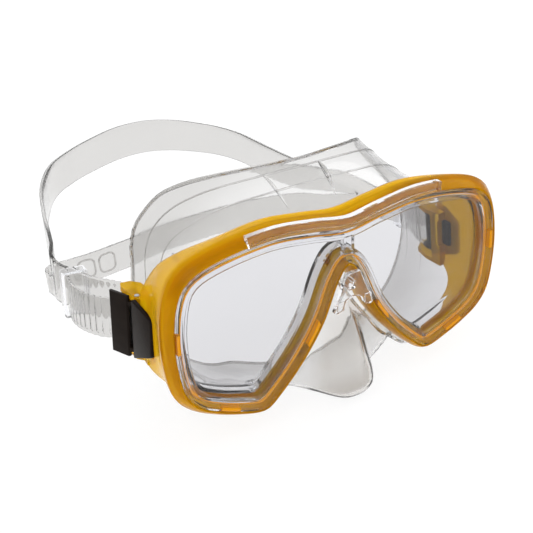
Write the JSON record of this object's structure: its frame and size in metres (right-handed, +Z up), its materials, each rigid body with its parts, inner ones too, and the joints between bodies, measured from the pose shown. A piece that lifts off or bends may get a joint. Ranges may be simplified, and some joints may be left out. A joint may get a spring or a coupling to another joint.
{
  "type": "snorkel mask",
  "caption": "Single-lens snorkel mask with an amber frame, clear silicone skirt and strap, and black swivelling buckles.",
  "frame": {"origin": "middle of the mask's footprint, on the surface that it rests on, with the strap spread out behind it", "axes": "+Z up when worn, -Y the way the lens looks, +Y towards the back of the head, +X the wearer's left"},
  "size_m": [0.1832, 0.2331, 0.0977],
  "materials": {
    "amber_plastic": "gloss, translucent",
    "clear_plastic": "gloss, transparent",
    "lens_glass": "polished",
    "clear_silicone": "satin, translucent",
    "black_plastic": "satin",
    "steel": "satin"
  },
  "bodies": {
    "mask": {"frame": "amber_plastic", "lens": "lens_glass", "lens_retainer": "clear_plastic", "brow_trim": "clear_plastic", "nose_clip": "clear_plastic", "skirt": "clear_silicone", "strap_back": "clear_silicone", "right_anchor_cover": "black_plastic", "left_anchor_cover": "black_plastic", "right_swivel_pin": "steel", "left_swivel_pin": "steel"},
    "right_buckle": {"right_buckle_body": "black_plastic", "right_roller_pin": "steel", "right_strap_end": "clear_silicone", "right_strap_keeper": "clear_plastic"},
    "left_buckle": {"left_buckle_body": "black_plastic", "left_roller_pin": "steel", "left_strap_end": "clear_silicone", "left_strap_keeper": "clear_plastic"},
    "right_roller": {"right_strap_roller": "black_plastic"},
    "left_roller": {"left_strap_roller": "black_plastic"}
  },
  "joints": [
    {"name": "right_buckle_swivel", "type": "hinge", "parent": "mask", "child": "right_buckle", "pos_m": [-0.07025, -0.07026, 0.04126], "axis": [0.1045, 0, 0.9945], "range_deg": [-3, 15]},
    {"name": "left_buckle_swivel", "type": "hinge", "parent": "mask", "child": "left_buckle", "pos_m": [0.08135, -0.07026, 0.04126], "axis": [-0.1045, 0, 0.9945], "range_deg": [-15, 3]},
    {"name": "right_roller_spin", "type": "hinge", "parent": "right_buckle", "child": "right_roller", "pos_m": [-0.07035, -0.06436, 0.04127], "axis": [0.1045, 0, 0.9945], "continuous": true},
    {"name": "left_roller_spin", "type": "hinge", "parent": "left_buckle", "child": "left_roller", "pos_m": [0.08145, -0.06436, 0.04127], "axis": [-0.1045, 0, 0.9945], "continuous": true}
  ]
}
